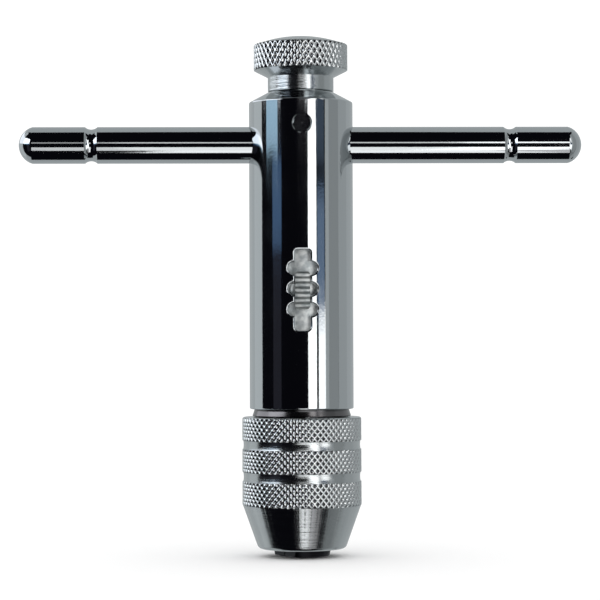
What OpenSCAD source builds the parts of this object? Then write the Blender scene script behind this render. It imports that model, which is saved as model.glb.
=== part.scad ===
// Ratchet tap wrench: sliding T-bar, clamp knob, three-way ratchet and two-jaw chuck.
// Z runs up the barrel, X along the T-bar, and the selector faces -Y.
// The origin is on the barrel's axis at the tips of the jaws.

/* [Barrel] */
// Outside diameter of the barrel
barrel_d = 17; // [16.8:0.1:17.6]
// Bore that holds the ratchet
barrel_bore_d = 14; // [13.9:0.1:14.2]
// Height of the barrel's lower end
barrel_bottom = 23.9; // [23.8:0.1:24]
// Height of the edge where the head cone starts
barrel_shoulder = 74; // [73.8:0.1:74.2]
// Slope of the head cone, from horizontal
head_slope = 30; // [28:1:32]

/* [T-bar] */
// Diameter of the bar
bar_d = 6; // [5.8:0.1:6.1]
// Length over the domed ends
bar_length = 92.3; // [88:0.1:100]
// Height of its axis
bar_z = 67.1; // [67:0.1:67.2]
// Distance from the middle to each ring groove
bar_groove_x = 34.3; // [30:0.1:38]
// Depth of the ring grooves
bar_groove_depth = 0.4; // [0.2:0.1:0.6]
// Radius of the grooves' hollow profile
bar_groove_r = 1.5; // [1.2:0.1:1.8]
// Height of the domes on its ends
bar_dome_h = 2.2; // [1.5:0.1:2.8]

/* [Clamp knob] */
// Diameter over the knurled rim
knob_d = 15.4; // [14.8:0.1:16]
// Diameter of the plain neck
neck_d = 10.8; // [10.6:0.1:11]
// Height of the neck
neck_h = 2.35; // [2.2:0.05:2.6]
// Height of the cone under the rim
knob_cone_h = 1.2; // [1:0.1:1.4]
// Height of the rim's upright side
rim_h = 4.05; // [3.8:0.05:4.2]
// Height of the whole tool, to the top of the knob's dome
total_h = 85; // [84.8:0.1:85.2]
// Radius of the dome
dome_r = 20.5; // [19:0.5:22]
// Diameter of the clamp screw's thread
screw_d = 8; // [7.9:0.1:8.1]

/* [Chuck] */
// Diameter over the knurled bands
sleeve_d = 19.5; // [19.3:0.1:19.8]
// Depth of the two plain grooves
sleeve_groove_depth = 0.22; // [0.1:0.01:0.3]
// Height of the nose's flat end face
nose_z = 0.87; // [0.8:0.01:0.9]
// Diameter of that end face
nose_d = 13.8; // [13.6:0.1:14]
// Height where the nose cone meets the first band
nose_top = 8.33; // [8.2:0.01:8.5]
// Height of the sleeve's top face
sleeve_top = 22.6; // [22.5:0.05:22.65]
// Slope of the inner cone that closes the jaws, from the axis
jaw_cone_angle = 18; // [17:0.5:18]
// Diameter of the chuck thread
chuck_thread_d = 15.8; // [15.7:0.1:15.8]

/* [Jaws] */
// Width of the two jaws
jaw_w = 6.6; // [6:0.1:6.6]
// Direction of the jaws' slot, turned from -Y towards +X
jaw_turn = 29; // [0:1:60]
// Height of the jaws
jaw_h = 9; // [8.5:0.1:9]
// Smallest square that the jaws grip
smallest_square = 2.4; // [2.2:0.1:2.6]

/* [Ratchet] */
// Number of teeth on each wheel
teeth = 12; // [12]
// Diameter over the teeth
wheel_d = 8.8; // [8.6:0.1:8.8]
// Depth of the teeth
tooth_depth = 1; // [0.8:0.1:1]
// Height of each wheel
wheel_h = 4.6; // [4.6:0.1:4.8]
// Height of the spacer between the wheels
wheel_gap = 0.6; // [0.4:0.1:0.8]

/* [Selector] */
// Height of the middle of the window
window_z = 43.35; // [43.2:0.05:43.5]
// Width of the window's slot
window_w = 3; // [2.9:0.1:3.1]
// Height of the window's slot
window_h = 13.45; // [13.4:0.05:13.8]
// Distance between the three click positions
click_pitch = 3.32; // [3.3:0.01:3.34]
// Radius of the lobes at each click position
lobe_r = 1.31; // [1.3:0.01:1.34]
// Radial travel of the button
press_travel = 1; // [1]
// Width of the ribbed boss
boss_w = 2.4; // [2.2:0.1:2.5]
// Height of the ribbed boss
boss_h = 6.3; // [6:0.1:6.3]

/* [Hidden] */
$fn = 96;
// Radial gap of a running fit
run = 0.05;
// How far a cutter passes the face that it opens
over = 0.5;

// Barrel and head
barrel_r = barrel_d / 2;
bore_r = barrel_bore_d / 2;
neck_r = neck_d / 2;
head_top = barrel_shoulder + (barrel_r - neck_r) * tan(head_slope);
ratchet_room_top = 58.2;
journal_r = 2.3;
ball_room_top = 62.6;
mouth_chamfer = 0.25;

// Clamp knob, pad and guide pin
knob_r = knob_d / 2;
neck_bottom = head_top + 0.03;
rim_bottom = neck_bottom + neck_h + knob_cone_h;
rim_top = rim_bottom + rim_h;
rim_round = 0.3;
screw_r = screw_d / 2 - run;
pad_r = 3.55;
pad_bottom = bar_z + bar_d / 2 + 0.3;
pad_top = pad_bottom + 1.9;
pad_nose_r = 1.5;
pad_tip_gap = 0.02;
screw_tip_r = 1.5;
screw_tip_h = 1;
guide_pin_r = 1.5;
guide_pin_z = 70;
guide_pin_tip = 3;

// Chuck: the inner cone is measured at the nose face
sleeve_r = sleeve_d / 2;
cone_slope = tan(jaw_cone_angle);
mouth_r = 4.9;
thread_r = chuck_thread_d / 2;
thread_bore_r = thread_r + run;
cone_top = nose_z + (thread_bore_r - mouth_r) / cone_slope;
band_edges = [12.1, 13.65, 17.35, 18.8];
nose_round_h = 0.83;
nose_round_r = 7.5;
stop_ring_z = 21.4;
stop_ring_h = 0.6;
stop_ring_in = 7.2;
stop_ring_out = 8.35;

// Spindle, from the nose up
spindle_nose = 2.6;
spindle_cone_gap = 0.15;
thread_top = 14.5;
relief_r = 7.1;
relief_top = 22.2;
bush_run_r = 5.5;
neck_top = 27.9;
shaft_r = 3;
wheel_shaft_r = 2.3;
spindle_tip = 61.2;
jaw_slot_w = jaw_w + 2 * run;
shank_bore_r = 2.6;
shank_bore_top = 18;

// Bush, washer and rings on the spindle's neck
bush_bottom = sleeve_top + 0.12;
bush_bottom_r = 8.06;
bush_top_r = 7.72;
bush_end = 26;
washer_h = 0.6;
circlip_z = bush_end + washer_h + 0.04;
circlip_h = 0.8;
circlip_in = 5.1;
circlip_out = 6.6;
ball_r = 1.15;
ball_z = ball_room_top - ball_r - run;

// Jaws: tips at z = 0, cone up to jaw_cone_top, straight backs above it
jaw_face = 0.15;
jaw_cone_top = 3.3;
jaw_tip_r = mouth_r - run - nose_z * cone_slope;
jaw_back_r = jaw_tip_r + jaw_cone_top * cone_slope;
jaw_spring_y = 2.4;
jaw_spring_z = 7.2;
jaw_spring_hole_r = 0.6;
jaw_spring_end = 2.8;

// Ratchet wheels and their pins
wheel_r = wheel_d / 2;
lower_wheel_z = window_z - wheel_gap / 2 - wheel_h;
upper_wheel_z = window_z + wheel_gap / 2;
tooth_lead = 7.2;
wheel_pin_r = 0.6;
wheel_pin_length = 6.5;

// Selector, drawn with the button pressed in
plate_out_r = bore_r - run;
plate_in_r = plate_out_r - 0.6;
plate_half_h = 11;
plate_half_angle = 42;
window_corner_r = 0.65;
lug_end_r = 1.15;
lug_end_x = 1.07;
lug_top_r = 7.88;
flange_top_r = plate_in_r - run;
flange_inner_y = 4.6;
flange_half_w = 2.4;
flange_half_h = 2.6;
boss_under_y = 7;
boss_top_y = 8.75;
boss_end_drop = 0.55;
rib_count = 7;
rib_pitch = 0.82;
rib_depth = 0.22;
pawl_bore_r = 0.8;
pawl_bore_end = 8;
blade_w = 0.9;
blade_h = 2.4;
blade_tip_y = wheel_r + run;
blade_root_y = 5.3;
pawl_stem_end = 6.5;

// A cylinder along Z between two heights, straight or tapered
module post(bottom, top, r, r_top = undef) {
    translate([0, 0, bottom])
        cylinder(h = top - bottom, r1 = r, r2 = is_undef(r_top) ? r : r_top);
}

// A ring between two heights
module ring(bottom, top, r_in, r_out) {
    difference() {
        post(bottom, top, r_out);
        post(bottom - over, top + over, r_in);
    }
}

// A rod along -Y between two distances from the axis
module front_rod(from, to, r, z) {
    translate([0, -from, z])
        rotate([90, 0, 0])
            cylinder(h = to - from, r = r);
}

// A flat outline pushed out along -Y between two distances from the axis
module front_extrude(from, to, z) {
    translate([0, -from, z])
        rotate([90, 0, 0])
            linear_extrude(height = to - from)
                children();
}

// The angle of one point on a coil
function coil_angle(i, steps) = 360 * i / steps;

// A closed coil spring along Z, swept ring by ring
module coil_spring(length, coil_r, wire_r, turns, steps = 10, sides = 5) {
    last = turns * steps;
    rise = (length - 2 * wire_r) / last;
    points = [
        for (i = [0 : last])
            for (k = [0 : sides - 1])
                let (a = coil_angle(i, steps), b = 360 * k / sides)
                let (r = coil_r + wire_r * cos(b))
                [r * cos(a), r * sin(a), wire_r + rise * i + wire_r * sin(b)]
    ];
    walls = [
        for (i = [0 : last - 1])
            for (k = [0 : sides - 1])
                let (n = (k + 1) % sides)
                [i * sides + k, i * sides + n, (i + 1) * sides + n, (i + 1) * sides + k]
    ];
    first_cap = [for (k = [sides - 1 : -1 : 0]) k];
    last_cap = [for (k = [0 : sides - 1]) last * sides + k];
    polyhedron(points = points, faces = concat([first_cap], walls, [last_cap]), convexity = 8);
}

// Outline of the selector window: a slot with three pairs of lobes
module window_outline() {
    square([window_w, window_h - 2 * window_corner_r], center = true);
    square([window_w - 2 * window_corner_r, window_h], center = true);
    for (x = [-1, 1], z = [-1, 1])
        translate([x * (window_w / 2 - window_corner_r), z * (window_h / 2 - window_corner_r)])
            circle(r = window_corner_r);
    for (x = [-1, 1], click = [-1 : 1])
        translate([x * lobe_r, click * click_pitch])
            circle(r = lobe_r);
}

// Outline of the lug that drops into one pair of lobes
module lug_outline(gap = 0) {
    square([2 * lug_end_x, 2 * (lug_end_r + gap)], center = true);
    for (x = [-1, 1])
        translate([x * lug_end_x, 0])
            circle(r = lug_end_r + gap);
}

// Barrel: bored from below for the ratchet, cross-drilled for the bar, tapped at the top
module barrel() {
    color("lightgray")
    difference() {
        union() {
            post(barrel_bottom, barrel_bottom + mouth_chamfer, barrel_r - mouth_chamfer, barrel_r);
            post(barrel_bottom + mouth_chamfer, barrel_shoulder, barrel_r);
            post(barrel_shoulder, head_top, barrel_r, neck_r);
        }
        post(barrel_bottom - over, ratchet_room_top, bore_r);
        post(ratchet_room_top - over, ball_room_top, journal_r + run);
        translate([-barrel_d, 0, bar_z])
            rotate([0, 90, 0])
                cylinder(h = 2 * barrel_d, r = bar_d / 2 + run);
        post(bar_z, head_top + over, pad_r + run);
        post(pad_top - run, head_top + over, screw_d / 2);
        front_rod(guide_pin_tip - 0.1, barrel_d, guide_pin_r, guide_pin_z);
        front_extrude(bore_r - 2, barrel_d, window_z) window_outline();
    }
}

// Dark collar screwed into the barrel's mouth, in which the spindle turns
module retaining_bush() {
    color("dimgray")
    difference() {
        union() {
            post(bush_bottom, barrel_bottom, bush_bottom_r, bush_top_r);
            post(barrel_bottom, bush_end, bore_r - 0.02);
        }
        post(bush_bottom - over, bush_end + over, bush_run_r + run);
    }
}

// Bronze washer between the bush and the retaining ring
module thrust_washer() {
    color("peru") ring(bush_end, bush_end + washer_h, bush_run_r + run, bore_r - 0.1);
}

// Short pin that keeps the clamp pad from turning
module pad_guide_pin() {
    color("gray")
    difference() {
        front_rod(guide_pin_tip, barrel_r - 0.12, guide_pin_r, guide_pin_z);
        front_rod(barrel_r - 0.6, barrel_r, 0.25, guide_pin_z);
    }
}

// Cross bar with domed ends and two ring grooves
module t_bar() {
    cap_r = (pow(bar_d / 2, 2) + pow(bar_dome_h, 2)) / (2 * bar_dome_h);
    color("lightgray")
    translate([0, 0, bar_z])
        rotate([0, 90, 0])
            difference() {
                intersection() {
                    translate([0, 0, -bar_length / 2])
                        cylinder(h = bar_length, r = bar_d / 2);
                    translate([0, 0, bar_length / 2 - cap_r])
                        bar_end_ball(cap_r, -1);
                    translate([0, 0, cap_r - bar_length / 2])
                        bar_end_ball(cap_r, 1);
                }
                for (side = [-1, 1])
                    translate([0, 0, side * bar_groove_x])
                        rotate_extrude()
                            translate([bar_d / 2 + bar_groove_r - bar_groove_depth, 0])
                                circle(r = bar_groove_r);
            }
}

// A ball joined to a long rod, so that it only rounds one end of the bar
module bar_end_ball(r, way) {
    sphere(r = r);
    translate([0, 0, way > 0 ? 0 : -bar_length])
        cylinder(h = bar_length, r = r);
}

// Pad that the screw presses on the bar, with a round nose and a slot for the guide pin
module clamp_pad() {
    color("goldenrod")
    difference() {
        union() {
            post(pad_bottom, pad_top, pad_r);
            intersection() {
                translate([0, 0, bar_z + bar_d / 2 + pad_tip_gap + pad_nose_r])
                    sphere(r = pad_nose_r);
                post(bar_z, pad_bottom + 0.2, pad_r);
            }
        }
        post(pad_top - screw_tip_h - run, pad_top + over, screw_tip_r + run);
        translate([-guide_pin_r - run, -pad_r - over, pad_bottom - over])
            cube([2 * (guide_pin_r + run), pad_r + over - guide_pin_tip + run, 3]);
    }
}

// Knurled knob, neck and screw, turned in one piece
module clamp_knob() {
    color("silver")
    union() {
        intersection() {
            union() {
                post(rim_bottom, total_h, knob_r - rim_round);
                post(rim_bottom, rim_top, knob_r);
            }
            translate([0, 0, total_h - dome_r])
                sphere(r = dome_r);
        }
        post(neck_bottom + neck_h, rim_bottom, neck_r, knob_r);
        post(neck_bottom, rim_bottom + 1, neck_r);
        post(pad_top + run, neck_bottom + 1, screw_r);
        post(pad_top - screw_tip_h, pad_top + 1, screw_tip_r);
    }
}

// Curved plate that slides behind the window and carries the button
module selector_plate() {
    reach = 2 * barrel_r;
    side = reach * tan(plate_half_angle);
    color("darkgray")
    difference() {
        intersection() {
            ring(window_z - plate_half_h, window_z + plate_half_h, plate_in_r, plate_out_r);
            translate([0, 0, window_z - barrel_d])
                linear_extrude(height = 2 * barrel_d)
                    polygon([[0, 0], [-side, -reach], [side, -reach]]);
        }
        front_extrude(plate_in_r - 3, barrel_r, window_z) lug_outline(run);
    }
}

// Thumb button: flange behind the plate, lug through it, ribbed boss outside
module selector_button() {
    crown_r = (pow(boss_h / 2, 2) + pow(boss_end_drop, 2)) / (2 * boss_end_drop);
    color("darkgray")
    difference() {
        union() {
            // flange, curved like the plate that it pulls up against
            intersection() {
                translate([-flange_half_w, -flange_top_r, window_z - flange_half_h])
                    cube([2 * flange_half_w, flange_top_r - flange_inner_y, 2 * flange_half_h]);
                translate([0, press_travel, 0])
                    post(window_z - flange_half_h, window_z + flange_half_h, flange_top_r);
            }
            // lug, a little lower than the barrel's bore while it is pressed in
            intersection() {
                front_extrude(flange_inner_y + 0.3, lug_top_r, window_z) lug_outline();
                translate([0, press_travel, 0])
                    post(window_z - flange_half_h, window_z + flange_half_h, lug_top_r);
            }
            // boss with a crowned top and rounded flanks
            intersection() {
                translate([-boss_w / 2, -boss_top_y, window_z - boss_h / 2])
                    cube([boss_w, boss_top_y - boss_under_y, boss_h]);
                translate([-boss_w, crown_r - boss_top_y, window_z])
                    rotate([0, 90, 0])
                        cylinder(h = 2 * boss_w, r = crown_r);
            }
            front_extrude(lug_top_r - press_travel - 0.3, boss_under_y + 0.2, window_z)
                square([boss_w, 2 * lug_end_r], center = true);
        }
        // finger grooves across the crown
        for (i = [0 : rib_count])
            translate([-boss_w, -boss_top_y, window_z + (i - rib_count / 2) * rib_pitch])
                rotate([0, 90, 0])
                    cylinder(h = 2 * boss_w, r = rib_depth + 0.05);
        front_rod(flange_inner_y - over, pawl_bore_end, pawl_bore_r, window_z);
        front_extrude(flange_inner_y - over, blade_root_y + run, window_z)
            square([blade_w + 2 * run, blade_h + 2 * run], center = true);
    }
}

// Pawl, drawn lifted clear of the teeth: a blade on a round stem
module pawl() {
    color("slategray")
    union() {
        front_extrude(blade_tip_y, blade_root_y, window_z) square([blade_w, blade_h], center = true);
        front_rod(blade_root_y - 0.2, pawl_stem_end, pawl_bore_r - run, window_z);
    }
}

// Spring that pushes the pawl in and the button out
module pawl_spring() {
    color("gold")
    translate([0, -pawl_stem_end - 0.02, window_z])
        rotate([90, 0, 0])
            coil_spring(pawl_bore_end - pawl_stem_end - 0.04, 0.6, 0.12, 4);
}

// Spindle: jaw slot and cone nose, chuck thread, running neck, ratchet shaft
module spindle() {
    nose_r = mouth_r - spindle_cone_gap + (spindle_nose - nose_z) * cone_slope;
    nose_top_z = spindle_nose + (thread_r - nose_r) / cone_slope;
    color("gray")
    difference() {
        union() {
            post(spindle_nose, nose_top_z, nose_r, thread_r);
            post(nose_top_z, thread_top, thread_r);
            post(thread_top, relief_top, relief_r);
            post(relief_top, circlip_z, bush_run_r);
            post(circlip_z, circlip_z + circlip_h, circlip_in);
            post(circlip_z + circlip_h, neck_top, bush_run_r);
            post(neck_top, lower_wheel_z - run, shaft_r);
            post(lower_wheel_z - run, spindle_tip, wheel_shaft_r);
        }
        rotate([0, 0, jaw_turn])
            translate([-jaw_slot_w / 2, -barrel_d, spindle_nose - over])
                cube([jaw_slot_w, 2 * barrel_d, jaw_h + 0.1 - spindle_nose + over]);
        post(jaw_h - over, shank_bore_top, shank_bore_r);
        post(ball_z - ball_r - run, spindle_tip + over, ball_r + run);
        for (z = [lower_wheel_z, upper_wheel_z])
            wheel_pin(z, wheel_pin_r);
    }
}

// Retaining ring in the groove of the spindle's neck, open at the back
module retaining_ring() {
    color("dimgray")
    difference() {
        ring(circlip_z, circlip_z + circlip_h, circlip_in, circlip_out);
        translate([-1.2, 0, circlip_z - over])
            cube([2.4, barrel_r, circlip_h + 2 * over]);
    }
}

// Ball that carries the thrust at the shaft's upper end
module thrust_ball() {
    color("silver") translate([0, 0, ball_z]) sphere(r = ball_r);
}

// Outline of one saw-toothed wheel; lean is 1 or -1
module saw_teeth(lean) {
    root_r = wheel_r - tooth_depth;
    step = 360 / teeth;
    polygon([
        for (i = [0 : teeth - 1], foot = [0, 1])
            let (a = -90 + lean * (i * step - tooth_lead), r = foot == 1 ? root_r : wheel_r)
            [r * cos(a), r * sin(a)]
    ]);
}

// A cross pin through the middle of a wheel
module wheel_pin(z, r) {
    translate([-wheel_pin_length / 2, 0, z + wheel_h / 2])
        rotate([0, 90, 0])
            cylinder(h = wheel_pin_length, r = r);
}

// One wheel on the shaft
module ratchet_wheel(z, lean) {
    difference() {
        translate([0, 0, z])
            linear_extrude(height = wheel_h)
                saw_teeth(lean);
        post(z - over, z + wheel_h + over, wheel_shaft_r + 0.01);
        wheel_pin(z, wheel_pin_r);
    }
}

module lower_ratchet_wheel() {
    color("slategray") ratchet_wheel(lower_wheel_z, -1);
}

module upper_ratchet_wheel() {
    color("slategray") ratchet_wheel(upper_wheel_z, 1);
}

// Plain ring that keeps the wheels apart
module wheel_spacer() {
    color("peru") ring(upper_wheel_z - wheel_gap, upper_wheel_z, wheel_shaft_r + 0.02, 3.2);
}

// The two pins that fix the wheels to the shaft
module wheel_pins() {
    color("silver")
    for (z = [lower_wheel_z, upper_wheel_z])
        wheel_pin(z, wheel_pin_r - 0.01);
}

// Chuck nut: three bands, two plain grooves, conical nose, inner cone and thread
module chuck_sleeve() {
    groove_r = sleeve_r - sleeve_groove_depth;
    edge = 0.3;
    color("silver")
    difference() {
        union() {
            post(nose_z, nose_z + nose_round_h, nose_d / 2, nose_round_r);
            post(nose_z + nose_round_h, nose_top, nose_round_r, sleeve_r - 0.05);
            post(nose_top, band_edges[0], sleeve_r);
            post(band_edges[0], band_edges[1], groove_r);
            post(band_edges[1], band_edges[2], sleeve_r);
            post(band_edges[2], band_edges[3], groove_r);
            post(band_edges[3], sleeve_top - edge, sleeve_r);
            post(sleeve_top - edge, sleeve_top, sleeve_r, sleeve_r - edge);
        }
        cone_from = nose_z - 0.6;
        post(cone_from, cone_top, mouth_r - 0.6 * cone_slope, thread_bore_r);
        post(cone_top - 0.01, sleeve_top + over, thread_bore_r);
        post(stop_ring_z - run, stop_ring_z + stop_ring_h + run, stop_ring_out + run);
    }
}

// Wire ring inside the sleeve that stops it against the thread's end
module stop_ring() {
    color("dimgray") ring(stop_ring_z, stop_ring_z + stop_ring_h, stop_ring_in, stop_ring_out);
}

// One jaw, drawn with its slot along -Y: block, cone back, V notch, spring holes
module jaw() {
    corner = smallest_square / sqrt(2);
    difference() {
        intersection() {
            translate([-jaw_w / 2, -barrel_d, 0])
                cube([jaw_w, barrel_d - jaw_face, jaw_h]);
            union() {
                post(0, jaw_cone_top, jaw_tip_r, jaw_back_r);
                post(jaw_cone_top, jaw_h, jaw_back_r);
            }
        }
        translate([0, 0, -over])
            linear_extrude(height = jaw_h + 2 * over)
                polygon([[-corner, 0], [0, -corner], [corner, 0]]);
        for (side = [-1, 1])
            translate([side * jaw_spring_y, 0, jaw_spring_z])
                rotate([90, 0, 0])
                    cylinder(h = jaw_spring_end + run, r = jaw_spring_hole_r);
    }
}

module jaw_front() {
    color("#222222") rotate([0, 0, jaw_turn]) jaw();
}

module jaw_rear() {
    color("#222222") rotate([0, 0, jaw_turn + 180]) jaw();
}

// Two springs that push the jaws apart
module jaw_springs() {
    color("gold")
    rotate([0, 0, jaw_turn])
        for (side = [-1, 1])
            translate([side * jaw_spring_y, jaw_spring_end, jaw_spring_z])
                rotate([90, 0, 0])
                    coil_spring(2 * jaw_spring_end, 0.42, 0.12, 7);
}

barrel();
retaining_bush();
thrust_washer();
pad_guide_pin();
t_bar();
clamp_pad();
clamp_knob();
selector_plate();
selector_button();
pawl();
pawl_spring();
spindle();
retaining_ring();
thrust_ball();
lower_ratchet_wheel();
upper_ratchet_wheel();
wheel_spacer();
wheel_pins();
chuck_sleeve();
stop_ring();
jaw_front();
jaw_rear();
jaw_springs();
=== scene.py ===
import math

import bmesh
import bpy
from mathutils import Matrix, Vector


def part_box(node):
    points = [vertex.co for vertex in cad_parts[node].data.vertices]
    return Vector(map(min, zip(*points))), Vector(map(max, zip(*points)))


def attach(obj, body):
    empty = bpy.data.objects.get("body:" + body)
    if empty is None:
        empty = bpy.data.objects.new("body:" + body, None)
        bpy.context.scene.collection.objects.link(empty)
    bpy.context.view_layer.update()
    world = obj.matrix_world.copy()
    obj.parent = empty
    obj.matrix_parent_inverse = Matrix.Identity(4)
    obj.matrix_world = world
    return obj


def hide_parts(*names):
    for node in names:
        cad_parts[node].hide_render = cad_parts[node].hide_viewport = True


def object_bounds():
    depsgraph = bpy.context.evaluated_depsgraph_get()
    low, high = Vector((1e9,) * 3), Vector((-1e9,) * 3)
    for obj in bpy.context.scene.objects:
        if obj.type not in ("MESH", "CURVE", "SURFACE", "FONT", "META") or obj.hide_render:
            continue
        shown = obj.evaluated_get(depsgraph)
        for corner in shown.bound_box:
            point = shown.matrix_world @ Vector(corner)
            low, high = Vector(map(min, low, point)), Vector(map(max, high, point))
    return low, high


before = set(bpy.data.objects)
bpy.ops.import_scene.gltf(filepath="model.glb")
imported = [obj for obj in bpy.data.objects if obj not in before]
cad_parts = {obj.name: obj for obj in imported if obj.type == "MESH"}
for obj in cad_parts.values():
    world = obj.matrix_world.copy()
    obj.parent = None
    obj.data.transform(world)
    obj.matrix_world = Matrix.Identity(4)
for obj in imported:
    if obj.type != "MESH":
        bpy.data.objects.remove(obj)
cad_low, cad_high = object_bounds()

# ---- Camera -------------------------------------------------------------------------
# A long lens almost square to the front of the tool, about a forearm away, a little below
# its middle and tilted up to frame it.
MM = 0.001
camera_distance = 373 * MM
camera_height = 34.5 * MM
camera_azimuth = math.radians(-1.5)
aim_point = Vector((-0.25 * MM, 0, 41.7 * MM))
camera_data = bpy.data.cameras.new("camera")
camera_data.sensor_width = 36
camera_data.lens = 136.6
camera = bpy.data.objects.new("camera", camera_data)
camera.location = (aim_point.x + camera_distance * math.sin(camera_azimuth),
                   -camera_distance * math.cos(camera_azimuth), camera_height)
tilt = math.atan((aim_point.z - camera_height) / camera_distance)
camera.rotation_euler = (math.radians(90) + tilt, math.radians(0.2), camera_azimuth)
bpy.context.collection.objects.link(camera)
bpy.context.scene.camera = camera
bpy.context.scene.view_settings.view_transform = "Standard"


# ---- Studio -------------------------------------------------------------------------
# A pale floor under the jaws, a white room for soft fill, and light cards that bright
# plating mirrors as upright stripes. Between the cards the plating mirrors dark room.
def linear(hex_colour):
    """An sRGB hex colour as linear RGBA."""
    values = [int(hex_colour[i:i + 2], 16) / 255 for i in (1, 3, 5)]
    return [v / 12.92 if v <= 0.04045 else ((v + 0.055) / 1.055) ** 2.4 for v in values] + [1]


def add(tree, kind, settings=None, links=None):
    """A node with its settings and its linked inputs."""
    node = tree.nodes.new(kind)
    for name, value in (settings or {}).items():
        if name in node.inputs and not hasattr(node, name):
            node.inputs[name].default_value = value
        else:
            setattr(node, name, value)
    for name, source in (links or {}).items():
        tree.links.new(source, node.inputs[name])
    return node


def glow_material(name, colour, strength):
    material = bpy.data.materials.new(name)
    material.use_nodes = True
    tree = material.node_tree
    tree.nodes.clear()
    glow = add(tree, "ShaderNodeEmission", {"Color": linear(colour), "Strength": strength})
    add(tree, "ShaderNodeOutputMaterial", links={"Surface": glow.outputs[0]})
    return material


def card(name, azimuth, elevation, width, height, strength, colour="#ffffff", distance=0.9):
    """A glowing card that faces the tool. Azimuth 0 is behind the camera and 90 is +X."""
    a, e = math.radians(azimuth) + camera_azimuth, math.radians(elevation)
    way = Vector((math.sin(a) * math.cos(e), -math.cos(a) * math.cos(e), math.sin(e)))
    bm = bmesh.new()
    bmesh.ops.create_grid(bm, x_segments=1, y_segments=1, size=0.5)
    bmesh.ops.scale(bm, vec=(width, height, 1), verts=bm.verts)
    mesh = bpy.data.meshes.new(name)
    bm.to_mesh(mesh)
    bm.free()
    mesh.materials.append(glow_material(name, colour, strength))
    obj = bpy.data.objects.new(name, mesh)
    obj.rotation_mode = "QUATERNION"
    obj.rotation_quaternion = way.to_track_quat("Z", "Y")
    obj.location = Vector((0, 0, camera_height)) + way * distance
    obj.visible_camera = False
    obj.visible_diffuse = False
    obj.visible_shadow = False
    bpy.context.collection.objects.link(obj)
    return obj


def arc_width(span, distance=0.9):
    """Width of a flat card that covers an angle seen from the tool."""
    return 2 * distance * math.tan(math.radians(span) / 2)


card("strip_light", 24.3, -6.9, arc_width(18.6), 0.52, 2.4)
card("strip_upper", 30, 22.2, arc_width(15), 0.41, 2.4)
card("second_strip", 46.5, -12, arc_width(16.5), 0.42, 2.0)
card("second_strip_fade", 44, 3.2, arc_width(17), 0.07, 0.34, "#b4d4ff")
card("blue_gap", 42, 22, arc_width(20), 0.5, 0.14, "#b0ccf0")
card("neck_strip", 49, 24, arc_width(7), 0.45, 1.6)
card("window_light", -68.5, 21.4, arc_width(45), 0.38, 2.6, "#f4f8ff")
card("window_side", -118, 22, arc_width(52, 0.85), 0.36, 1.6, "#f4f8ff", 0.85)
card("window_edge", -67.5, 8.1, arc_width(29), 0.04, 1.05, "#b0d4ec")
card("window_fade", -55, 5.0, arc_width(22), 0.05, 0.26, "#93c2ff")
card("left_gloom", -55, -13.5, arc_width(20), 0.55, 0.03, "#e0e0ff")
for azimuth, span, glow in ((59, 9, 0.6), (77, 27, 0.42), (106, 31, 0.54), (134, 31, 0.6),
                            (163, 31, 0.6), (190, 31, 0.6), (219, 31, 0.66), (248, 31, 0.78)):
    card(f"grey_wall_{azimuth}", azimuth, 8, arc_width(span), 1.7, glow, "#e8eef0")
for azimuth, span, glow in ((77, 27, 0.3), (106, 31, 0.46), (248, 31, 0.6), (219, 31, 0.6)):
    card(f"low_wall_{azimuth}", azimuth, -48, arc_width(span) * 0.8, 0.46, glow, "#e8eef0")
card("table_light", 2.5, -25.5, arc_width(13), 0.34, 1.35)
card("table_left", -6, -25.5, arc_width(4), 0.34, 0.95)
card("table_right", 11.5, -25.5, arc_width(5), 0.34, 2.0)
card("table_near", 6.5, -44.5, arc_width(15), 0.26, 1.5)
card("table_side", 21, -40, arc_width(14), 0.42, 0.8, "#f2f0f2")
card("table_end", 34, -40, arc_width(12), 0.42, 0.5, "#f2f0f2")
card("thin_light", 2.5, 13, arc_width(13), 0.11, 0.95)
card("thin_left", -6, 13, arc_width(4), 0.11, 0.5)
card("thin_right", 11.5, 13, arc_width(5), 0.13, 1.9)
card("ceiling_left", 150, 57, 0.75, 1.2, 0.6, "#e8eef0")
card("ceiling_right", 210, 57, 0.75, 1.2, 0.6, "#e8eef0")
card("ground_bounce", 180, -53, 1.2, 0.62, 0.6, "#e8eef0")

world = bpy.data.worlds.new("studio")
world.use_nodes = True
bpy.context.scene.world = world
tree = world.node_tree
tree.nodes.clear()
rays = add(tree, "ShaderNodeLightPath")
room = add(tree, "ShaderNodeBackground", {"Color": linear("#ffffff"), "Strength": 1.12})
dark = add(tree, "ShaderNodeBackground", {"Color": linear("#0b0b10"), "Strength": 1.0})
mixed = add(tree, "ShaderNodeMixShader",
            links={0: rays.outputs["Is Glossy Ray"], 1: room.outputs[0], 2: dark.outputs[0]})
add(tree, "ShaderNodeOutputWorld", links={"Surface": mixed.outputs[0]})

floor_material = bpy.data.materials.new("pale_floor")
floor_material.use_nodes = True
floor_shader = floor_material.node_tree.nodes["Principled BSDF"]
floor_shader.inputs["Base Color"].default_value = linear("#fbfbfb")
floor_shader.inputs["Roughness"].default_value = 0.9
floor_shader.inputs["Specular IOR Level"].default_value = 0
bm = bmesh.new()
bmesh.ops.create_grid(bm, x_segments=1, y_segments=1, size=3)
bmesh.ops.translate(bm, vec=(0, 0, cad_low.z - 0.2 * MM), verts=bm.verts)
floor_mesh = bpy.data.meshes.new("floor")
bm.to_mesh(floor_mesh)
bm.free()
floor_mesh.materials.append(floor_material)
floor = bpy.data.objects.new("floor", floor_mesh)
floor.visible_glossy = False
bpy.context.collection.objects.link(floor)


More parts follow.
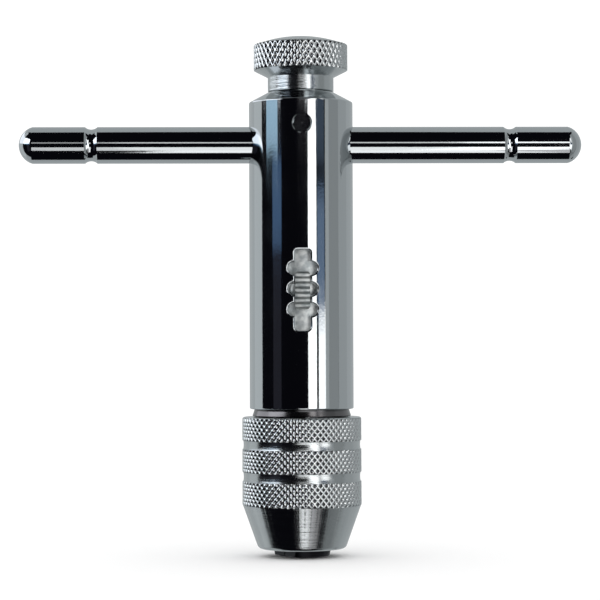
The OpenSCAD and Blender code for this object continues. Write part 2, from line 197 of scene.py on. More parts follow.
# ---- Barrel -------------------------------------------------------------------------
# Seamless steel tube, turned, ground and polished, then bright chrome plated. The lobed
# window and the cross hole are milled, and their edges are rounded on a deburring wheel.
bar_radius = (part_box("t_bar")[1].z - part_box("t_bar")[0].z) / 2
bar_height = (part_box("t_bar")[1].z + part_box("t_bar")[0].z) / 2
barrel_low, barrel_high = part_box("barrel")
barrel_radius = barrel_high.x
neck_radius = 5.4 * MM
shoulder_height = barrel_high.z - (barrel_radius - neck_radius) * math.tan(math.radians(30))
bore_radius = 7 * MM
barrel_segments = 256


def lathe(bm, profile, segments, closed=True):
    """Spins a profile of (radius, height) points in millimetres round Z."""
    verts = [bm.verts.new((r * MM, 0, z * MM)) for r, z in profile]
    pairs = list(zip(verts, verts[1:] + verts[:1]))
    edges = [bm.edges.new(pair) for pair in (pairs if closed else pairs[:-1])]
    bmesh.ops.spin(bm, geom=verts + edges, cent=(0, 0, 0), axis=(0, 0, 1), dvec=(0, 0, 0),
                   angle=math.tau, steps=segments, use_merge=True, use_normal_flip=False,
                   use_duplicate=False)
    bmesh.ops.remove_doubles(bm, verts=bm.verts, dist=0.0005 * MM)
    bmesh.ops.recalc_face_normals(bm, faces=bm.faces)


def arc(cx, cz, r, start, end, steps):
    """Points of an arc in a profile, angles in degrees."""
    angles = [math.radians(start + (end - start) * i / steps) for i in range(steps + 1)]
    return [(cx + r * math.cos(a), cz + r * math.sin(a)) for a in angles]


def shade(obj, sharp_degrees=28):
    """Smooth shading with crisp edges, led by the larger faces so that long walls stay true."""
    obj.data.shade_smooth()
    obj.data.set_sharp_from_angle(angle=math.radians(sharp_degrees))
    weighted = obj.modifiers.new("true_faces", "WEIGHTED_NORMAL")
    weighted.mode = "FACE_AREA"
    weighted.weight = 100
    weighted.thresh = 1e-9
    weighted.keep_sharp = True


def piece(name, bm, material, body, nodes):
    """A finished piece from a bmesh, riding on its body in place of its CAD nodes."""
    mesh = bpy.data.meshes.new(name)
    bm.to_mesh(mesh)
    bm.free()
    mesh.materials.append(material)
    obj = bpy.data.objects.new(name, mesh)
    bpy.context.collection.objects.link(obj)
    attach(obj, body)
    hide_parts(*nodes)
    return obj


def metal(name, colour, roughness):
    """A plain metal to build on: (material, its tree, its shader)."""
    material = bpy.data.materials.new(name)
    material.use_nodes = True
    shader = material.node_tree.nodes["Principled BSDF"]
    shader.inputs["Base Color"].default_value = linear(colour)
    shader.inputs["Metallic"].default_value = 1
    shader.inputs["Roughness"].default_value = roughness
    return material, material.node_tree, shader


def polished_chrome():
    """Bright chrome plate over polished steel: a clear mirror, cool in tint, with the faint
    wave of hand polishing and a little haze where fingers and cloths have been."""
    material, tree, shader = metal("polished_chrome", "#c4c8ca", 0.05)
    place = add(tree, "ShaderNodeTexCoord")
    haze = add(tree, "ShaderNodeTexNoise", {"Scale": 260, "Detail": 4},
               {"Vector": place.outputs["Object"]})
    dull = add(tree, "ShaderNodeMapRange", {"To Min": 0.03, "To Max": 0.1},
               {"Value": haze.outputs["Fac"]})
    tree.links.new(dull.outputs[0], shader.inputs["Roughness"])
    grit = add(tree, "ShaderNodeTexNoise", {"Scale": 2600, "Detail": 2},
               {"Vector": place.outputs["Object"]})
    fine = add(tree, "ShaderNodeBump", {"Strength": 0.14, "Distance": 0.01 * MM},
               {"Height": grit.outputs["Fac"]})
    wave = add(tree, "ShaderNodeTexNoise", {"Scale": 160, "Detail": 1},
               {"Vector": place.outputs["Object"]})
    bump = add(tree, "ShaderNodeBump", {"Strength": 0.5, "Distance": 0.02 * MM},
               {"Height": wave.outputs["Fac"], "Normal": fine.outputs[0]})
    tree.links.new(bump.outputs[0], shader.inputs["Normal"])
    return material


chrome = polished_chrome()


slot_half_width, slot_top, slot_bottom = 1.5, 6.5, 6.95
slot_top_corner, slot_bottom_corner = 0.7, 0.9
lobe_centre, lobe_radius, lobe_pitch = 1.31, 1.31, 3.32


def window_outline(grow):
    """Half-width and height points of the lobed window, clockwise from the top, in mm."""
    side, lobe = slot_half_width + grow, lobe_radius + grow
    half = arc(side - slot_top_corner - grow, slot_top - slot_top_corner,
               slot_top_corner + grow, 90, 0, 6)
    reach = math.degrees(math.acos((side - lobe_centre) / lobe))
    for click in (1, 0, -1):
        half += arc(lobe_centre, click * lobe_pitch, lobe, reach, -reach, 12)
    half += arc(side - slot_bottom_corner - grow, slot_bottom_corner - slot_bottom,
                slot_bottom_corner + grow, 0, -90, 6)
    return half + [(-x, z) for x, z in reversed(half)]


def loops_solid(bm, loops):
    """Draws a first loop out through the others, in millimetres, into a solid with flat ends."""
    ring = [bm.verts.new(Vector(p) * MM) for p in loops[0]]
    first = [bm.edges.new(pair) for pair in zip(ring, ring[1:] + ring[:1])]
    last = first
    for loop in loops[1:]:
        drawn = bmesh.ops.extrude_edge_only(bm, edges=last)["geom"]
        fresh = {v for v in drawn if isinstance(v, bmesh.types.BMVert)}
        ring = [next(e.other_vert(v) for e in v.link_edges if e.other_vert(v) in fresh)
                for v in ring]
        for vert, place in zip(ring, loop):
            vert.co = Vector(place) * MM
        last = [e for e in drawn if isinstance(e, bmesh.types.BMEdge)
                and e.verts[0] in fresh and e.verts[1] in fresh]
    for end in (first, last):
        bmesh.ops.triangle_fill(bm, edges=end, use_beauty=True)
    bmesh.ops.recalc_face_normals(bm, faces=bm.faces)


def temporary(name, bm):
    mesh = bpy.data.meshes.new(name)
    bm.to_mesh(mesh)
    bm.free()
    obj = bpy.data.objects.new(name, mesh)
    bpy.context.collection.objects.link(obj)
    return obj


def cut(obj, cutters, operation="DIFFERENCE"):
    """Cuts solids out of a piece, or trims it to them, and removes the cutters."""
    for cutter in cutters:
        step = obj.modifiers.new("cut", "BOOLEAN")
        step.operation = operation
        step.solver = "EXACT"
        step.object = cutter
    graph = bpy.context.evaluated_depsgraph_get()
    done = bpy.data.meshes.new_from_object(obj.evaluated_get(graph))
    obj.modifiers.clear()
    obj.data = done
    for cutter in cutters:
        bpy.data.objects.remove(cutter)


def front_loop(points, height, radius):
    """An outline laid on a cylinder of this radius, on the side where the selector is."""
    return [(x, -math.sqrt(max(radius ** 2 - x * x, 0)), height + z) for x, z in points]


window_height = (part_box("selector_plate")[0].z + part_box("selector_plate")[1].z) / 2 / MM
outer = barrel_radius / MM
window_cutter = bmesh.new()
# From inside the tube to past its skin: a radius, and how far the outline has opened there.
rim_steps = [(5.5, -0.22), (outer - 0.26, -0.22), (outer - 0.16, -0.19), (outer - 0.1, -0.14),
             (outer - 0.055, -0.08), (outer - 0.02, 0), (outer + 0.004, 0.08), (outer + 0.3, 0.09)]
loops_solid(window_cutter, [front_loop(window_outline(grow), window_height, radius)
                            for radius, grow in rim_steps])

pin_height, pin_segments = 70.0, 96
pin_cutter = bmesh.new()
# The same for the pin's hole: a radius in the tube, and the hole's own radius there.
pin_steps = [(5.5, 1.5), (outer - 0.22, 1.5), (outer - 0.08, 1.54), (outer + 0.02, 1.66),
             (outer + 0.3, 1.9)]
pin_angles = [k * math.tau / pin_segments for k in range(pin_segments)]
loops_solid(pin_cutter, [front_loop([(r * math.sin(a), r * math.cos(a)) for a in pin_angles],
                                    pin_height, depth) for depth, r in pin_steps])

cross_hole_radius = bar_radius + 0.05 * MM
across = Matrix.Translation((0, 0, bar_height)) @ Matrix.Rotation(math.pi / 2, 4, "Y")
cross_cutter = bmesh.new()
bmesh.ops.create_cone(cross_cutter, cap_ends=True, segments=96, radius1=cross_hole_radius,
                      radius2=cross_hole_radius, depth=30 * MM, matrix=across)

low, shoulder, top = (h / MM for h in (barrel_low.z, shoulder_height, barrel_high.z))
neck, bore = neck_radius / MM, bore_radius / MM
bar_z = bar_height / MM
pad_bore, screw_bore, screw_floor = 3.6, 4, 72.25
bore_top, ball_room, ball_room_top = 58.2, 2.35, 62.6
shoulder_round, mouth_round = 0.3, 0.25
bm = bmesh.new()
lathe(bm, [
    (0, bar_z), (pad_bore, bar_z), (pad_bore, screw_floor), (screw_bore, screw_floor),
    (screw_bore, top - 0.2), (screw_bore + 0.2, top), (neck - 0.15, top), (neck, top - 0.1),
    *arc(outer - shoulder_round, shoulder - 0.173, shoulder_round, 60, 0, 6), (outer, low + 0.4),
    *arc(outer - mouth_round, low + mouth_round, mouth_round, 0, -90, 4), (bore + 0.1, low),
    (bore, low + 0.1), (bore, bore_top), (ball_room, bore_top), (ball_room, ball_room_top),
    (0, ball_room_top)], barrel_segments, closed=False)
barrel = piece("barrel_tube", bm, chrome, "barrel", ["barrel"])
cut(barrel, [temporary("window_cutter", window_cutter), temporary("pin_cutter", pin_cutter),
             temporary("cross_cutter", cross_cutter)])


turned_edge = math.radians(28)


def true_cylinder(obj, radius):
    """Sets the exact normals of a cylinder round Z where faces lie on it."""
    mesh = obj.data
    mesh.shade_smooth()
    mesh.set_sharp_from_angle(angle=turned_edge)
    normals = [Vector(n.vector) for n in mesh.corner_normals]
    for face in mesh.polygons:
        centre = Vector((face.center.x, face.center.y, 0))
        faces_out = face.normal.dot(centre.normalized()) > 0.999
        if faces_out and abs(centre.length - radius) < 0.02 * MM:
            for corner in face.loop_indices:
                spot = mesh.vertices[mesh.loops[corner].vertex_index].co
                normals[corner] = Vector((spot.x, spot.y, 0)).normalized()
    mesh.normals_split_custom_set(normals)


true_cylinder(barrel, barrel_radius)


# ---- T-bar --------------------------------------------------------------------------
# A length of ground round stock, its ends domed on the lathe and a ring groove turned
# near each end, chromed like the barrel. It slides through the cross hole.
half_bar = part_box("t_bar")[1].x / MM
r = bar_radius / MM
dome = 2.2
cap = (r * r + dome * dome) / (2 * dome)
cap_angle = math.degrees(math.asin(r / cap))
groove_x, groove_r, groove_depth, groove_lip = 34.3, 1.5, 0.4, 1.35
groove_half = math.degrees(math.acos((groove_r - groove_depth) / groove_r))


def bar_side(way):
    """Profile from the dome's pole to the middle of the bar, for one end."""
    angles = [math.radians(cap_angle * i / 10) for i in range(10)]
    points = [(cap * math.sin(a), half_bar - cap + cap * math.cos(a)) for a in angles]
    points += [(r - 0.03, half_bar - dome + 0.03), (r, half_bar - dome - 0.1)]
    points += [(r, groove_x + groove_lip),
               *arc(r + groove_r - groove_depth, groove_x, groove_r,
                    180 - groove_half, 180 + groove_half, 10), (r, groove_x - groove_lip)]
    return [(radius, way * x) for radius, x in points]


bm = bmesh.new()
lathe(bm, bar_side(1) + list(reversed(bar_side(-1))), 128, closed=False)
bmesh.ops.rotate(bm, cent=(0, 0, 0), matrix=Matrix.Rotation(math.pi / 2, 3, "Y"), verts=bm.verts)
bmesh.ops.translate(bm, vec=(0, 0, bar_height), verts=bm.verts)
bmesh.ops.recalc_face_normals(bm, faces=bm.faces)
t_bar = piece("t_bar_rod", bm, chrome, "t_bar", ["t_bar"])
shade(t_bar)


# ---- Clamp knob ---------------------------------------------------------------------
# Turned from one steel bar with its neck and screw, its rim rolled with a crossed knurl,
# then satin chromed. Turning it presses the pad below its tip on to the T-bar.
def satin_chrome():
    """Chrome plate on an as-turned surface: softer than the barrel, with fine turning rings
    that draw highlights out up and down."""
    material, tree, shader = metal("satin_chrome", "#bfc3c4", 0.16)
    place = add(tree, "ShaderNodeTexCoord")
    # One cell of the noise is about 0.3 mm up the axis and 4 mm across it.
    stretched = add(tree, "ShaderNodeMapping", {"Scale": (250, 250, 3600), "Rotation": (0, 0, 0.6)},
                    {"Vector": place.outputs["Object"]})
    rings = add(tree, "ShaderNodeTexNoise", {"Scale": 1, "Detail": 3},
                {"Vector": stretched.outputs[0]})
    dull = add(tree, "ShaderNodeMapRange", {"To Min": 0.1, "To Max": 0.26},
               {"Value": rings.outputs["Fac"]})
    tree.links.new(dull.outputs[0], shader.inputs["Roughness"])
    bump = add(tree, "ShaderNodeBump", {"Strength": 1.0, "Distance": 0.03 * MM},
               {"Height": rings.outputs["Fac"]})
    tree.links.new(bump.outputs[0], shader.inputs["Normal"])
    return material


def rolled_chrome(name, radius, depth):
    """Chrome plate over a rolled knurl of this radius, in mm: bright smooth ridges, and pits
    painted nearly black as shade."""
    material, tree, shader = metal(name, "#c3c7c9", 0.12)
    place = add(tree, "ShaderNodeTexCoord")
    flat = add(tree, "ShaderNodeVectorMath", {"operation": "MULTIPLY"},
               {0: place.outputs["Object"]})
    flat.inputs[1].default_value = (1, 1, 0)
    reach = add(tree, "ShaderNodeVectorMath", {"operation": "LENGTH"}, {0: flat.outputs[0]})
    raised = add(tree, "ShaderNodeMapRange", {"From Min": (radius - depth) * MM,
                                              "From Max": (radius - depth * 0.3) * MM},
                 {"Value": reach.outputs["Value"]})
    # Painted shade: the base colour runs from bright chrome on the ridges to near black deep in the
    # pits.
    tint = add(tree, "ShaderNodeMix", {"data_type": "RGBA"}, {"Factor": raised.outputs[0]})
    tint.inputs[6].default_value = linear("#1c1c1f")
    tint.inputs[7].default_value = linear("#d6d9da")
    tree.links.new(tint.outputs[2], shader.inputs["Base Color"])
    wear = add(tree, "ShaderNodeTexNoise", {"Scale": 900, "Detail": 3},
               {"Vector": place.outputs["Object"]})
    dull = add(tree, "ShaderNodeMapRange", {"To Min": 0.06, "To Max": 0.2},
               {"Value": wear.outputs["Fac"]})
    tree.links.new(dull.outputs[0], shader.inputs["Roughness"])
    return material


satin = satin_chrome()
KNURL_STEPS = 8


def knurl_rows(radius, low, high, rise):
    """Profile points of a band, a fixed part of the knurl's rise apart."""
    rows = round((high - low) / (rise / KNURL_STEPS))
    return [(radius, low + (high - low) * i / rows) for i in range(rows + 1)]


def press_knurl(bm, radius, low, high, count, rise, depth):
    """Presses crossed rows of pits into a band, and leaves rounded ridges between them."""
    dip = (0, 0.1, 0.42, 0.8, 1)
    for vert in bm.verts:
        height = vert.co.z / MM
        across = Vector((vert.co.x, vert.co.y, 0))
        if low - 0.001 < height < high + 0.001 and across.length > (radius - 0.2) * MM:
            around = math.atan2(vert.co.y, vert.co.x) / math.tau * count
            up = (height - low) / rise
            steps = []
            for turn in (around + up, around - up):
                steps.append(abs(turn - round(turn)) * KNURL_STEPS)
            nearest = min(steps)
            below = int(nearest + 1e-6)
            part = nearest - below
            deep = dip[below] * (1 - part) + dip[min(below + 1, 4)] * part
            vert.co.xy -= across.xy.normalized() * deep * depth * MM
    band = [f for f in bm.faces if all(low - 0.001 < v.co.z / MM < high + 0.001 for v in f.verts)
            and f.calc_center_median().xy.length > (radius - 0.4) * MM and len(f.verts) == 4]
    split = bmesh.ops.triangulate(bm, faces=band, quad_method="LONG_EDGE")
    for face in split["faces"]:
        face.material_index = 1


def shade_knurled(obj, bands, material):
    """Crisp edges on the turned parts and soft ridges inside the knurled bands."""
    mesh = obj.data
    mesh.materials.append(material)
    mesh.shade_smooth()
    mesh.set_sharp_from_angle(angle=turned_edge)
    for edge in mesh.edges:
        if edge.use_edge_sharp:
            heights = [mesh.vertices[v].co.z / MM for v in edge.vertices]
            if any(low + 0.01 < min(heights) and max(heights) < high - 0.01 for low, high in bands):
                edge.use_edge_sharp = False


knob_low, knob_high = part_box("clamp_knob")
knob = knob_high.x / MM
knob_count, knob_rise, knob_depth = 48, 1.66, 0.36
knob_tip, knob_top = knob_low.z / MM, knob_high.z / MM
rim_low, rim_high = 79.37, 83.38
dome_drop, dome_radius = 0.1, 20.5
dome_centre = knob_top - dome_drop - dome_radius
dome_edge = math.degrees(math.asin((knob - 0.35) / dome_radius))
dome_angles = [math.radians(dome_edge * k / 12) for k in range(12, -1, -1)]
tip_radius, screw_end, screw_radius = 1.5, 72.35, 3.95
neck_low, neck_high = 75.82, 78.12
bm = bmesh.new()
lathe(bm, [
    (0, knob_tip), (tip_radius - 0.2, knob_tip), (tip_radius, knob_tip + 0.2),
    (tip_radius, screw_end), (screw_radius - 0.35, screw_end), (screw_radius, screw_end + 0.35),
    (screw_radius, neck_low), (neck - 0.1, neck_low), (neck, neck_low + 0.1), (neck, neck_high),
    (neck + 0.06, neck_high + 0.1), (knob - 0.12, rim_low - 0.06),
    *knurl_rows(knob, rim_low, rim_high, knob_rise),
    (knob - 0.04, rim_high + 0.1), (knob - 0.16, rim_high + 0.19),
    *[(dome_radius * math.sin(a), dome_centre + dome_radius * math.cos(a)) for a in dome_angles]],
    knob_count * KNURL_STEPS, closed=False)
press_knurl(bm, knob, rim_low, rim_high + 0.2, knob_count, knob_rise, knob_depth)
clamp_knob = piece("knurled_knob", bm, satin, "clamp_knob", ["clamp_knob"])
shade_knurled(clamp_knob, [(rim_low, rim_high + 0.2)],
              rolled_chrome("knob_knurl", knob, knob_depth))


# ---- Chuck sleeve -------------------------------------------------------------------
# Turned steel nut with three knurled bands and two plain grooves, a conical nose, and an
# inner cone that closes the jaws as it screws up the spindle. Satin chromed.
sleeve_low, sleeve_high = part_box("chuck_sleeve")
sleeve = sleeve_high.x / MM
nose, sleeve_top = sleeve_low.z / MM, sleeve_high.z / MM
groove = sleeve - 0.22
sleeve_count, sleeve_rise, sleeve_depth = 61, 1.15, 0.34
bands = [(8.33, 12.1), (13.65, 17.35), (18.8, 22.3)]


def hollow(low, high):
    """A plain groove with a slightly hollow floor."""
    steps = 8
    return [(groove + 0.07 * (2 * i / steps - 1) ** 2, low + (high - low) * i / steps)
            for i in range(steps + 1)]


mouth_radius, nose_lift, nose_round = 5.0, 0.25, 0.85
sleeve_bore, cone_top = 7.95, 10.257
ring_groove, ring_groove_low, ring_groove_high = 8.4, 21.35, 22.05
bm = bmesh.new()
lathe(bm, [
    (mouth_radius - 0.05, nose + nose_lift + 0.05), (mouth_radius, nose + nose_lift),
    (6.45, nose + nose_lift),
    *arc(6.52, nose + 1.1, nose_round, -88, -18.4, 7), (9.66, 8.2),
    *knurl_rows(sleeve, *bands[0], sleeve_rise), *hollow(12.13, 13.62),
    *knurl_rows(sleeve, *bands[1], sleeve_rise), *hollow(17.38, 18.77),
    *knurl_rows(sleeve, *bands[2], sleeve_rise), (sleeve - 0.08, 22.45),
    (sleeve - 0.22, sleeve_top - 0.03), (sleeve - 0.36, sleeve_top),
    (sleeve_bore + 0.15, sleeve_top), (sleeve_bore, sleeve_top - 0.15),
    (sleeve_bore, ring_groove_high),
    (ring_groove, ring_groove_high), (ring_groove, ring_groove_low),
    (sleeve_bore, ring_groove_low), (sleeve_bore, cone_top)],
    sleeve_count * KNURL_STEPS)
for low, high in bands:
    press_knurl(bm, sleeve, low, high, sleeve_count, sleeve_rise, sleeve_depth)
chuck_sleeve = piece("knurled_sleeve", bm, satin, "chuck_sleeve", ["chuck_sleeve"])
shade_knurled(chuck_sleeve, bands, rolled_chrome("sleeve_knurl", sleeve, sleeve_depth))


# ---- Retaining bush -----------------------------------------------------------------
# Turned collar screwed into the barrel's mouth to hold the spindle in. Its flange shows
# as a dark tapered ring between the barrel and the sleeve. Steel, chemically blackened.
def blackened_steel():
    """Steel blacked in hot salts: a deep grey-brown that still gleams a little, with the
    turning marks left in it."""
    material, tree, shader = metal("blackened_steel", "#706e6f", 0.2)
    place = add(tree, "ShaderNodeTexCoord")
    stretched = add(tree, "ShaderNodeMapping", {"Scale": (30, 30, 4000)},
                    {"Vector": place.outputs["Object"]})
    rings = add(tree, "ShaderNodeTexNoise", {"Scale": 1, "Detail": 2},
                {"Vector": stretched.outputs[0]})
    bump = add(tree, "ShaderNodeBump", {"Strength": 0.5, "Distance": 0.01 * MM},
               {"Height": rings.outputs["Fac"]})
    tree.links.new(bump.outputs[0], shader.inputs["Normal"])
    return material


blackened = blackened_steel()
bush_low, bush_high = (end.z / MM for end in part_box("retaining_bush"))
bush_bore, bush_thread, flange_top = 5.55, 6.98, 23.9
bm = bmesh.new()
lathe(bm, [
    (bush_bore, bush_low + 0.1), (bush_bore + 0.1, bush_low), (7.94, bush_low),
    (8.06, bush_low + 0.12), (7.9, 23.3), (7.74, 23.84), (7.68, flange_top),
    (bush_thread, flange_top), (bush_thread, bush_high - 0.15), (bush_thread - 0.15, bush_high),
    (bush_bore + 0.1, bush_high), (bush_bore, bush_high - 0.1)], barrel_segments)
retaining_bush = piece("bush_flange", bm, blackened, "barrel", ["retaining_bush"])
shade(retaining_bush)
for name in ("retaining_ring", "stop_ring"):
    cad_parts[name].data.materials.clear()
    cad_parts[name].data.materials.append(blackened)


# ---- Pad guide pin ------------------------------------------------------------------
# Short hardened pin pressed through the front of the head. Its end is ground, has a
# rounded edge and a small centre mark, and stops just under the barrel's surface.
def turned_steel():
    """Bright turned steel under a film of oil: a grey sheen with fine rings."""
    material, tree, shader = metal("turned_steel", "#a3a6a8", 0.2)
    place = add(tree, "ShaderNodeTexCoord")
    stretched = add(tree, "ShaderNodeMapping", {"Scale": (60, 60, 3600)},
                    {"Vector": place.outputs["Object"]})
    rings = add(tree, "ShaderNodeTexNoise", {"Scale": 1, "Detail": 3},
                {"Vector": stretched.outputs[0]})
    dull = add(tree, "ShaderNodeMapRange", {"To Min": 0.12, "To Max": 0.3},
               {"Value": rings.outputs["Fac"]})
    tree.links.new(dull.outputs[0], shader.inputs["Roughness"])
    return material


bright_steel = turned_steel()
pin_low, pin_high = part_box("pad_guide_pin")
pin_end, pin_root, pin_radius = -pin_low.y / MM, -pin_high.y / MM, 1.46
bm = bmesh.new()
lathe(bm, [(0, pin_end - 0.02), (0.06, pin_end), (pin_radius - 0.06, pin_end),
           (pin_radius, pin_end - 0.06), (pin_radius, pin_root + 0.3), (1.2, pin_root),
           (0, pin_root)], pin_segments, closed=False)
bmesh.ops.rotate(bm, cent=(0, 0, 0), matrix=Matrix.Rotation(math.pi / 2, 3, "X"), verts=bm.verts)
bmesh.ops.translate(bm, vec=(0, 0, pin_height * MM), verts=bm.verts)
bmesh.ops.recalc_face_normals(bm, faces=bm.faces)
guide_pin = piece("guide_pin", bm, chrome, "barrel", ["pad_guide_pin"])
shade(guide_pin, 8)


# ---- Selector -----------------------------------------------------------------------
# A curved zinc plate slides behind the window and carries the thumb button: a lug that
# drops between the window's lobes and a ribbed boss. Both are die cast and nickelled.
def nickel_zinc(name, metallic, roughness):
    """Dull nickel on a zinc casting: a soft grey speckled by the skin of the mould, and a
    clearer gloss where thumbs have rubbed it."""
    material, tree, shader = metal(name, "#c6cbca", roughness)
    shader.inputs["Metallic"].default_value = metallic
    place = add(tree, "ShaderNodeTexCoord")
    skin = add(tree, "ShaderNodeTexNoise", {"Scale": 1500, "Detail": 4},
               {"Vector": place.outputs["Object"]})
    cloud = add(tree, "ShaderNodeTexNoise", {"Scale": 700, "Detail": 4},
                {"Vector": place.outputs["Object"]})
    speckle = add(tree, "ShaderNodeMapRange", {"From Min": 0.38, "From Max": 0.62},
                  {"Value": cloud.outputs["Fac"]})
    tint = add(tree, "ShaderNodeMix", {"data_type": "RGBA"}, {"Factor": speckle.outputs[0]})
    tint.inputs[6].default_value = linear("#b2b9bb")
    tint.inputs[7].default_value = linear("#eef1f0")
    tree.links.new(tint.outputs[2], shader.inputs["Base Color"])
    bump = add(tree, "ShaderNodeBump", {"Strength": 0.4, "Distance": 0.02 * MM},
               {"Height": skin.outputs["Fac"]})
    tree.links.new(bump.outputs[0], shader.inputs["Normal"])
    return material


def shade_rib_valleys(material, height, pitch):
    """Painted shade in the valleys of the button's ribs, which makes each crest stand out."""
    tree = material.node_tree
    shader = tree.nodes["Principled BSDF"]
    unshaded_colour = shader.inputs["Base Color"].links[0].from_socket
    place = add(tree, "ShaderNodeTexCoord")
    axes = add(tree, "ShaderNodeSeparateXYZ", links={0: place.outputs["Object"]})
    up = add(tree, "ShaderNodeMath", {"operation": "SUBTRACT"}, {0: axes.outputs["Z"]})
    up.inputs[1].default_value = height * MM
    turns = add(tree, "ShaderNodeMath", {"operation": "MULTIPLY"}, {0: up.outputs[0]})
    turns.inputs[1].default_value = math.tau / (pitch * MM)
    wave = add(tree, "ShaderNodeMath", {"operation": "COSINE"}, {0: turns.outputs[0]})
    valley = add(tree, "ShaderNodeMapRange", {"From Min": 0.6, "From Max": -1, "To Max": 0.85},
                 {"Value": wave.outputs[0]})
    proud = add(tree, "ShaderNodeMath", {"operation": "LESS_THAN"}, {0: axes.outputs["Y"]})
    proud.inputs[1].default_value = -7.9 * MM
    valley_shade = add(tree, "ShaderNodeMath", {"operation": "MULTIPLY"},
                {0: valley.outputs[0], 1: proud.outputs[0]})
    # Painted shade: the base colour is darkened towards dark grey in the rib valleys on the boss.
    mix = add(tree, "ShaderNodeMix", {"data_type": "RGBA"}, {"Factor": valley_shade.outputs[0]})
    mix.inputs[7].default_value = linear("#3f4745")
    tree.links.new(unshaded_colour, mix.inputs[6])
    tree.links.new(mix.outputs[2], shader.inputs["Base Color"])


zinc = nickel_zinc("nickel_plated_zinc", 0.5, 0.4)
rubbed_zinc = nickel_zinc("rubbed_nickel", 0.6, 0.34)
plate_low, plate_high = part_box("selector_plate")
bm = bmesh.new()
corners = [bm.verts.new((r * MM, 0, z)) for r, z in
           ((6.35, plate_low.z), (6.95, plate_low.z), (6.95, plate_high.z), (6.35, plate_high.z))]
section = bm.faces.new(corners)
half_turn = math.radians(42)
bmesh.ops.rotate(bm, cent=(0, 0, 0), matrix=Matrix.Rotation(-math.pi / 2 - half_turn, 3, "Z"),
                 verts=bm.verts)
bmesh.ops.spin(bm, geom=[section] + list(section.edges) + list(section.verts), cent=(0, 0, 0),
               axis=(0, 0, 1), dvec=(0, 0, 0), angle=2 * half_turn, steps=56, use_merge=False,
               use_normal_flip=False, use_duplicate=False)
bmesh.ops.recalc_face_normals(bm, faces=bm.faces)
plate = piece("curved_plate", bm, zinc, "selector_plate", ["selector_plate"])
lug_hole = bmesh.new()
lug_reach, lug_radius, lug_gap = 1.07, 1.0, 0.05


def lug_outline(radius):
    """The lug's long shape with round ends, clockwise from the top, in mm."""
    half = [(lug_reach + radius * math.cos(math.radians(a)), radius * math.sin(math.radians(a)))
            for a in range(90, -91, -10)]
    return half + [(-x, z) for x, z in reversed(half)]


outline = lug_outline(lug_radius + lug_gap)
loops_solid(lug_hole, [front_loop(outline, window_height, r) for r in (5.5, 7.4)])
cut(plate, [temporary("lug_hole", lug_hole)])
shade(plate)


def finished(name, material, body, width, angle=25):
    """A copy of a CAD part with its facets joined and its edges broken."""
    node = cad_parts[name]
    bm = bmesh.new()
    bm.from_mesh(node.data)
    bmesh.ops.transform(bm, matrix=node.matrix_world, verts=bm.verts)
    bmesh.ops.remove_doubles(bm, verts=bm.verts, dist=0.002 * MM)
    bmesh.ops.dissolve_limit(bm, angle_limit=math.radians(0.8), verts=bm.verts, edges=bm.edges)
    obj = piece(name + "_solid", bm, material, body, [name])
    if width:
        bevel = obj.modifiers.new("broken_edges", "BEVEL")
        bevel.width = width * MM
        bevel.segments = 2
        bevel.limit_method = "ANGLE"
        bevel.angle_limit = math.radians(angle)
    shade(obj, 40)
    return obj


# The pressed button: every height is a distance from the barrel's axis towards the thumb.
boss_half_width, boss_half_height, boss_top, boss_drop = 1.2, 3.1, 8.75, 0.45
boss_lowered = 0.25
boss_height = window_height - boss_lowered
rib_pitch, rib_depth = 0.82, 0.34
profile = [(boss_half_height, 7.0), (boss_half_height, 7.75), (boss_half_height - 0.08, 8.0)]
for k in range(-60, 61):
    z = -k / 60 * (boss_half_height - 0.18)
    valley = 0.5 + 0.5 * math.cos(math.tau * (z / rib_pitch - 0.5))
    profile.append((z, boss_top - boss_drop * (z / boss_half_height) ** 2 - rib_depth * valley))
profile += [(0.08 - boss_half_height, 8.0), (-boss_half_height, 7.75), (-boss_half_height, 7.0)]
# Painted shade is mixed into the base colour of the button's rib valleys.
shade_rib_valleys(rubbed_zinc, boss_height, rib_pitch)
boss = bmesh.new()
side = boss.faces.new([boss.verts.new(Vector((-boss_half_width, -y, boss_height + z)) * MM)
                       for z, y in profile])
pushed = bmesh.ops.extrude_face_region(boss, geom=[side])
bmesh.ops.translate(boss, vec=(2 * boss_half_width * MM, 0, 0),
                    verts=[v for v in pushed["geom"] if isinstance(v, bmesh.types.BMVert)])
bmesh.ops.recalc_face_normals(boss, faces=boss.faces)
flanks = [e for e in boss.edges if abs(e.verts[0].co.x - e.verts[1].co.x) < 1e-6]
bmesh.ops.bevel(boss, geom=flanks, offset=0.1 * MM, affect="EDGES", segments=2, profile=0.5,
                material=-1)

button = bmesh.new()
lug = lug_outline(lug_radius)


def shrunk(points, by):
    """The lug's outline pulled in, by less near its middle."""
    return [(x - math.copysign(min(by, abs(x)), x) * min(abs(x) / 1.6, 1),
             z * (1 - by / lug_radius)) for x, z in points]


press_travel = 1


def pressed_loop(points, r):
    """An outline laid on a cylinder that is pushed back by the button's travel."""
    return [(x, press_travel - math.sqrt(r * r - x * x), window_height + z) for x, z in points]


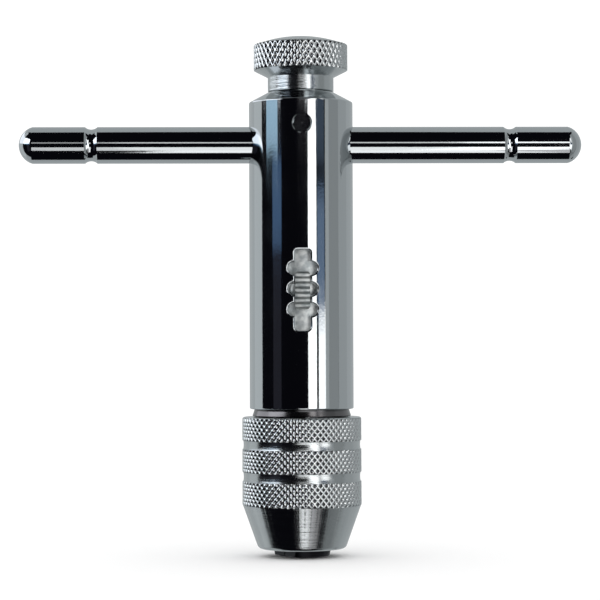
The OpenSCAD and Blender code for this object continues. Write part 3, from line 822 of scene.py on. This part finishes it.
loops_solid(button, [[(x, -4.9, z) for x, _, z in pressed_loop(lug, 7.88)], pressed_loop(lug, 7.78),
                     pressed_loop(shrunk(lug, 0.03), 7.85), pressed_loop(shrunk(lug, 0.1), 7.88)])
flange_half_width, flange_half_height = 2.35, 2.6
spots = [2 * flange_half_width * i / 12 - flange_half_width for i in range(13)]
wide = [(x, flange_half_height) for x in spots] + [(-x, -flange_half_height) for x in spots]
flange_bm = bmesh.new()
loops_solid(flange_bm, [[(x, -4.6, window_height + z) for x, z in wide], pressed_loop(wide, 6.3)])
button_piece = piece("thumb_button", button, rubbed_zinc, "selector_button", ["selector_button"])
boss_corner = 0.62
quarter = arc(boss_half_width - boss_corner, boss_half_height - boss_corner, boss_corner, 90, 0, 8)
rounded = quarter + [(x, -z) for x, z in reversed(quarter)]
rounded += [(-x, z) for x, z in reversed(rounded)]
trim = bmesh.new()
loops_solid(trim, [[(x, y, boss_height + z) for x, z in rounded] for y in (-6, -9.5)])
boss_part = temporary("boss", boss)
cut(boss_part, [temporary("trim", trim)], "INTERSECT")
for part in (boss_part, temporary("flange", flange_bm)):
    join = button_piece.modifiers.new("join", "BOOLEAN")
    join.operation = "UNION"
    join.solver = "EXACT"
    join.object = part
stem_hole_radius = 0.8 * MM
inward = Matrix.Translation((0, -6 * MM, window_height * MM)) @ Matrix.Rotation(math.pi / 2, 4, "X")
stem_hole = bmesh.new()
bmesh.ops.create_cone(stem_hole, cap_ends=True, segments=48, radius1=stem_hole_radius,
                      radius2=stem_hole_radius, depth=4 * MM, matrix=inward)
cut(button_piece, [temporary("stem_hole", stem_hole)])
for part_name in ("boss", "flange"):
    bpy.data.objects.remove(bpy.data.objects[part_name])
button_piece.data.shade_smooth()
button_piece.data.set_sharp_from_angle(angle=math.radians(35))


# ---- Jaws and spindle ---------------------------------------------------------------
# Two case-hardened jaws, blackened, slide in a slot across the spindle's nose. The
# spindle is turned from one bar: nose, chuck thread, neck and the ratchet's shaft.
def black_oxide():
    """Black oxide on ground steel: nearly black, with a dry grey gloss on its edges."""
    material, tree, shader = metal("black_oxide", "#26262a", 0.42)
    place = add(tree, "ShaderNodeTexCoord")
    grain = add(tree, "ShaderNodeTexNoise", {"Scale": 2200, "Detail": 3},
                {"Vector": place.outputs["Object"]})
    bump = add(tree, "ShaderNodeBump", {"Strength": 0.3, "Distance": 0.01 * MM},
               {"Height": grain.outputs["Fac"]})
    tree.links.new(bump.outputs[0], shader.inputs["Normal"])
    return material


oxide = black_oxide()
for name in ("jaw_front", "jaw_rear"):
    finished(name, oxide, name, 0.08, 30)
finished("spindle", bright_steel, "spindle", 0.06, 30)


def plain(name, colour, roughness, grain_scale, grain_colour):
    """A hidden part's metal: its colour clouded a little by a fine grain."""
    material, tree, shader = metal(name, colour, roughness)
    place = add(tree, "ShaderNodeTexCoord")
    grain = add(tree, "ShaderNodeTexNoise", {"Scale": grain_scale, "Detail": 3},
                {"Vector": place.outputs["Object"]})
    tint = add(tree, "ShaderNodeMix", {"data_type": "RGBA"}, {"Factor": grain.outputs["Fac"]})
    tint.inputs[6].default_value = linear(colour)
    tint.inputs[7].default_value = linear(grain_colour)
    tree.links.new(tint.outputs[2], shader.inputs["Base Color"])
    return material


hardened = plain("hardened_steel", "#7d7f84", 0.28, 1600, "#96989b")
wire = plain("spring_wire", "#8c8b86", 0.3, 2400, "#a3a29c")
bronze = plain("sintered_bronze", "#a67c45", 0.36, 1800, "#bd9659")
for material, names in ((hardened, ("pawl", "lower_ratchet_wheel", "upper_ratchet_wheel")),
                        (wire, ("pawl_spring", "jaw_springs")),
                        (bronze, ("thrust_washer", "clamp_pad", "wheel_spacer")),
                        (bright_steel, ("thrust_ball", "wheel_pins"))):
    for name in names:
        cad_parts[name].data.materials.clear()
        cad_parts[name].data.materials.append(material)
